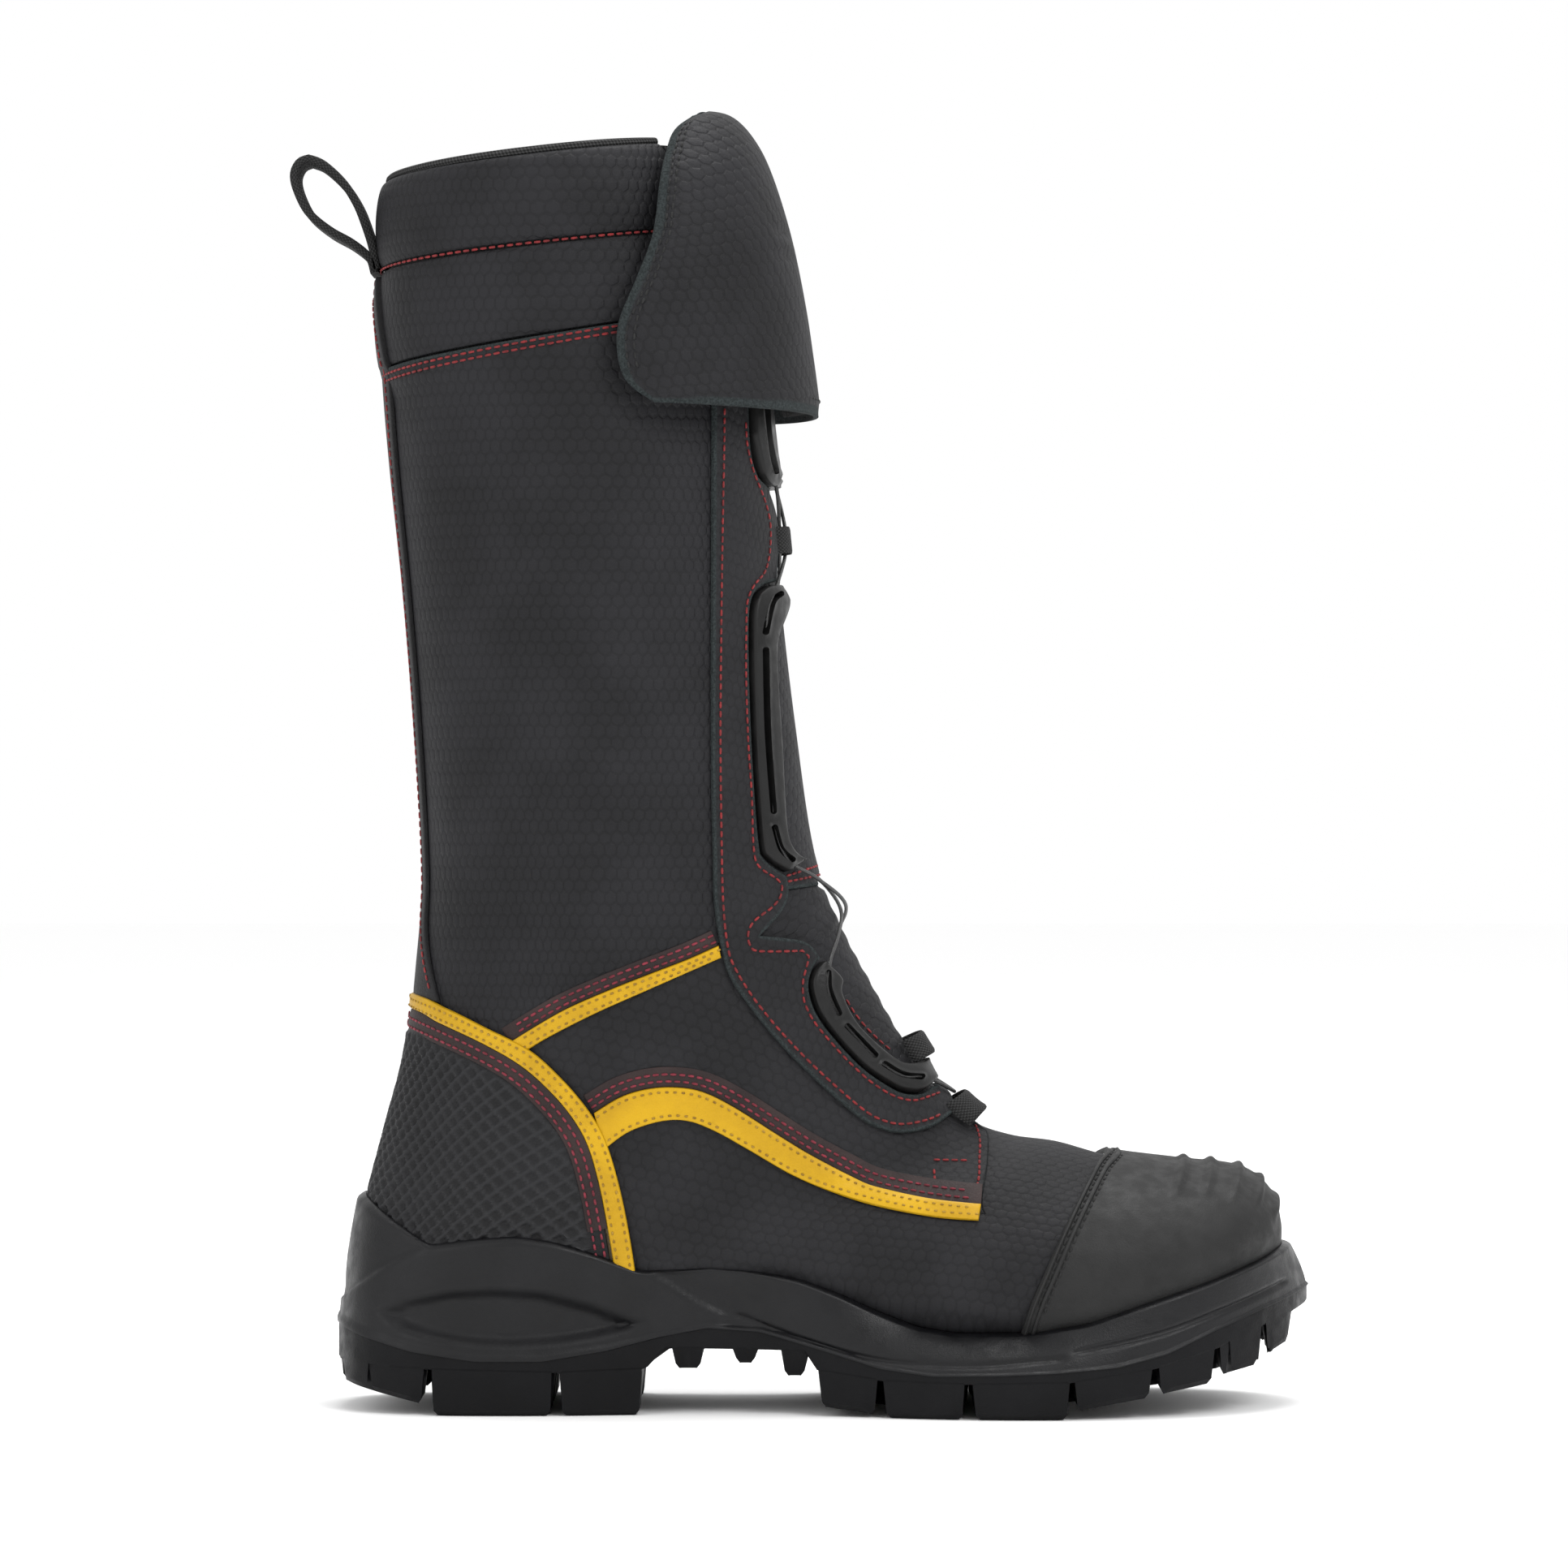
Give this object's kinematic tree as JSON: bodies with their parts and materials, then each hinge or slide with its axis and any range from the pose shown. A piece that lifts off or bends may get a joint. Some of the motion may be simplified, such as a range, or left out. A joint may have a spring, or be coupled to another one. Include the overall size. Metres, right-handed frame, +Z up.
{
  "type": "tall firefighting boot",
  "caption": "Tall black leather fire boot with padded collar, fold-over flap over a wire-and-dial closure, yellow trims, rubber toe guard and lugged sole.",
  "frame": {"origin": "middle of the space the boot takes up, on the ground under the sole", "axes": "+X to the toe, +Z up, the outer (lateral) side of this right boot faces -Y"},
  "size_m": [0.3274, 0.1224, 0.4136],
  "materials": {
    "leather_black": "embossed, semi-matt",
    "leather_counter": "diamond embossed, semi-matt",
    "leather_yellow": "smooth, semi-gloss",
    "lining_cloth": "knitted",
    "webbing": "woven",
    "sole_rubber": "moulded, satin",
    "guard_rubber": "moulded, matt",
    "black_plastic": "moulded, satin",
    "steel": "bright",
    "fibre_board": "pressed fibre",
    "foam": "moulded foam"
  },
  "bodies": {
    "boot": {"outsole": "sole_rubber", "midsole": "sole_rubber", "toe_guard": "guard_rubber", "vamp": "leather_black", "tongue_shin": "leather_black", "tongue_ankle": "leather_black", "back_strip": "leather_black", "collar_pad_upper": "leather_black", "collar_pad_lower": "leather_black", "shaft_panel_lateral": "leather_black", "shaft_panel_medial": "leather_black", "quarter_lateral": "leather_black", "quarter_medial": "leather_black", "facing_lateral": "leather_black", "facing_medial": "leather_black", "heel_counter": "leather_counter", "heel_trim": "leather_yellow", "ankle_trim_lateral": "leather_yellow", "ankle_trim_medial": "leather_yellow", "side_trim_lateral": "leather_yellow", "side_trim_medial": "leather_yellow", "lining_bootie": "lining_cloth", "collar_binding": "lining_cloth", "keeper_shin": "webbing", "keeper_throat_rear": "webbing", "keeper_throat_front": "webbing", "dial_base": "black_plastic", "upper_guide_lateral": "black_plastic", "upper_guide_medial": "black_plastic", "shin_guide_lateral": "black_plastic", "shin_guide_medial": "black_plastic", "instep_guide_lateral": "black_plastic", "instep_guide_medial": "black_plastic", "lace_wire": "steel", "dial_screw": "steel", "shank": "steel", "toe_cap_insert": "steel", "insole_board": "fibre_board", "heel_stiffener": "fibre_board", "puncture_plate": "fibre_board", "footbed": "foam"},
    "flap": {"tongue_flap": "leather_black", "flap_hook_pad": "webbing"},
    "dial_reel": {"dial_spool": "black_plastic"},
    "dial_cap": {"dial_knob": "black_plastic", "dial_spring": "steel"},
    "loop": {"pull_loop": "webbing"}
  },
  "joints": [
    {"name": "flap_fold", "type": "hinge", "parent": "boot", "child": "flap", "pos_m": [-0.03175, 0, 0.4114], "axis": [0, -1, 0], "range_deg": [0, 120]},
    {"name": "dial_turn", "type": "hinge", "parent": "boot", "child": "dial_reel", "pos_m": [-0.01698, 0, 0.34788], "axis": [0.9867, 0, 0.1627], "continuous": true},
    {"name": "dial_pop", "type": "slide", "parent": "dial_reel", "child": "dial_cap", "axis": [0.9867, 0, 0.1627], "range_m": [0, 0.002]},
    {"name": "loop_bend", "type": "hinge", "parent": "boot", "child": "loop", "pos_m": [-0.13745, 0, 0.3624], "axis": [0, -1, 0], "range_deg": [0, 50], "stiffness_Nm_per_rad": 0.05}
  ]
}
